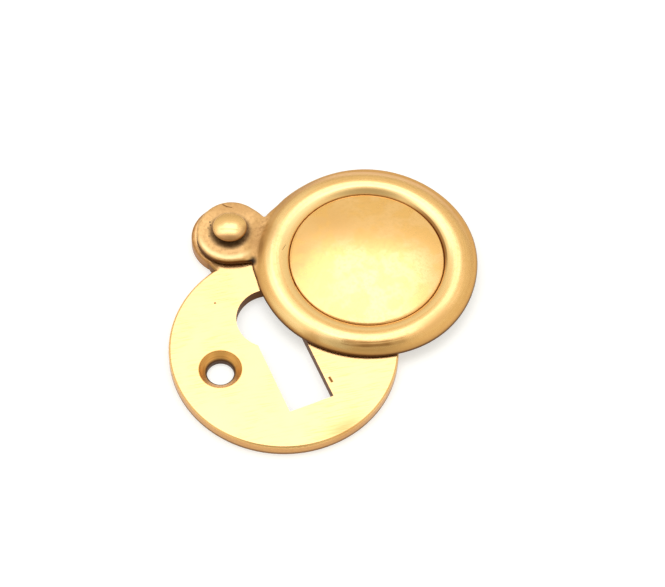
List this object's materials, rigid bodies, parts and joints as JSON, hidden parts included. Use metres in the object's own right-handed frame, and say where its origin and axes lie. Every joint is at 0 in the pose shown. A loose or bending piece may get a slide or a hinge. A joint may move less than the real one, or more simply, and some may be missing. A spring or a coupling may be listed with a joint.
{
  "type": "keyhole escutcheon",
  "caption": "Round brass backplate with a keyhole and countersunk screw holes, and a beaded, domed swing cover that turns on a rivet above it.",
  "frame": {"origin": "middle of the round backplate, on its back face, halfway between the screw holes", "axes": "+Z out of the front face, +Y from the middle towards the rivet, +X towards the side that the cover is swung to"},
  "size_m": [0.0481, 0.0415, 0.0048],
  "materials": {
    "plate_brass": "polished, fine brush marks",
    "cover_brass": "polished, with cast marks by the lug",
    "rivet_brass": "polished head, dark neck"
  },
  "bodies": {
    "plate": {"backplate": "plate_brass", "pivot_rivet": "rivet_brass"},
    "cover": {"swing_cover": "cover_brass"}
  },
  "joints": [
    {"name": "cover_swing", "type": "hinge", "parent": "plate", "child": "cover", "pos_m": [0, 0.02, 0], "axis": [0, 0, 1], "continuous": true}
  ]
}
